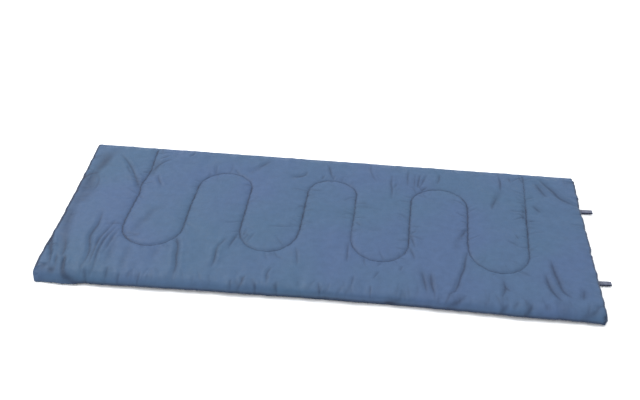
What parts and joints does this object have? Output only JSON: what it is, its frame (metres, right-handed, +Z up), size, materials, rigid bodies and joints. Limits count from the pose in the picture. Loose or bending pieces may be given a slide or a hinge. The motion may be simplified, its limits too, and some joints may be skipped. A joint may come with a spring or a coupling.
{
  "type": "rectangular sleeping bag",
  "caption": "Rectangular quilted sleeping bag lying flat and closed, with a serpentine seam, an L-shaped zip and webbing hanging loops at the foot.",
  "frame": {"origin": "centre of the bag body's flat underside, where it lies on the ground", "axes": "+X from the open head end to the foot, +Y from the zip side to the fold, +Z up"},
  "size_m": [1.9542, 0.7524, 0.0456],
  "materials": {
    "shell_fabric": "soft steel-blue polyester taffeta with a low sheen",
    "lining_fabric": "matt grey-blue brushed polyester",
    "batting": "white hollow-fibre wadding",
    "thread": "navy polyester sewing thread",
    "binding": "dark blue woven tape",
    "zip_tape": "navy woven zip tape",
    "zip_coil": "navy polyester coil",
    "zip_metal": "nickel-plated zinc with light wear",
    "zip_end_fitting": "pale grey moulded plastic",
    "loop_webbing": "grey-blue flat webbing with darker edges"
  },
  "bodies": {
    "lower_quilt": {"lower_shell": "shell_fabric", "lower_shell_fold": "shell_fabric", "lower_batting": "batting", "lower_lining": "lining_fabric", "lower_quilting_thread": "thread", "lower_head_binding": "binding", "lower_zip_tape": "zip_tape", "lower_zip_coil": "zip_coil", "lower_zip_top_stop": "zip_metal", "zip_end_box": "zip_end_fitting"},
    "upper_quilt": {"upper_shell": "shell_fabric", "upper_shell_fold": "shell_fabric", "upper_batting": "batting", "upper_lining": "lining_fabric", "upper_quilting_thread": "thread", "upper_head_binding": "binding", "upper_zip_tape": "zip_tape", "upper_zip_coil": "zip_coil", "upper_zip_top_stop": "zip_metal", "zip_end_pin": "zip_end_fitting"},
    "zip_slider": {"zip_slider_body": "zip_metal"},
    "zip_pull": {"zip_pull": "zip_metal"},
    "near_loop": {"near_hanging_loop": "loop_webbing"},
    "far_loop": {"far_hanging_loop": "loop_webbing"}
  },
  "joints": [
    {"name": "fold_open", "type": "hinge", "parent": "lower_quilt", "child": "upper_quilt", "pos_m": [0, 0.375, 0.022], "axis": [-1, 0, 0], "range_deg": [0, 180]},
    {"name": "zip_slide", "type": "slide", "parent": "lower_quilt", "child": "zip_slider", "axis": [1, 0, 0], "range_m": [0, 1.825]},
    {"name": "pull_swing", "type": "hinge", "parent": "zip_slider", "child": "zip_pull", "pos_m": [-0.917, -0.3757, 0.022], "axis": [0, 0, -1], "range_deg": [0, 175]},
    {"name": "near_loop_swing", "type": "hinge", "parent": "lower_quilt", "child": "near_loop", "pos_m": [0.9547, -0.197, 0.0055], "axis": [0, -1, 0], "range_deg": [0, 70]},
    {"name": "far_loop_swing", "type": "hinge", "parent": "lower_quilt", "child": "far_loop", "pos_m": [0.9547, 0.197, 0.0055], "axis": [0, -1, 0], "range_deg": [0, 70]}
  ]
}
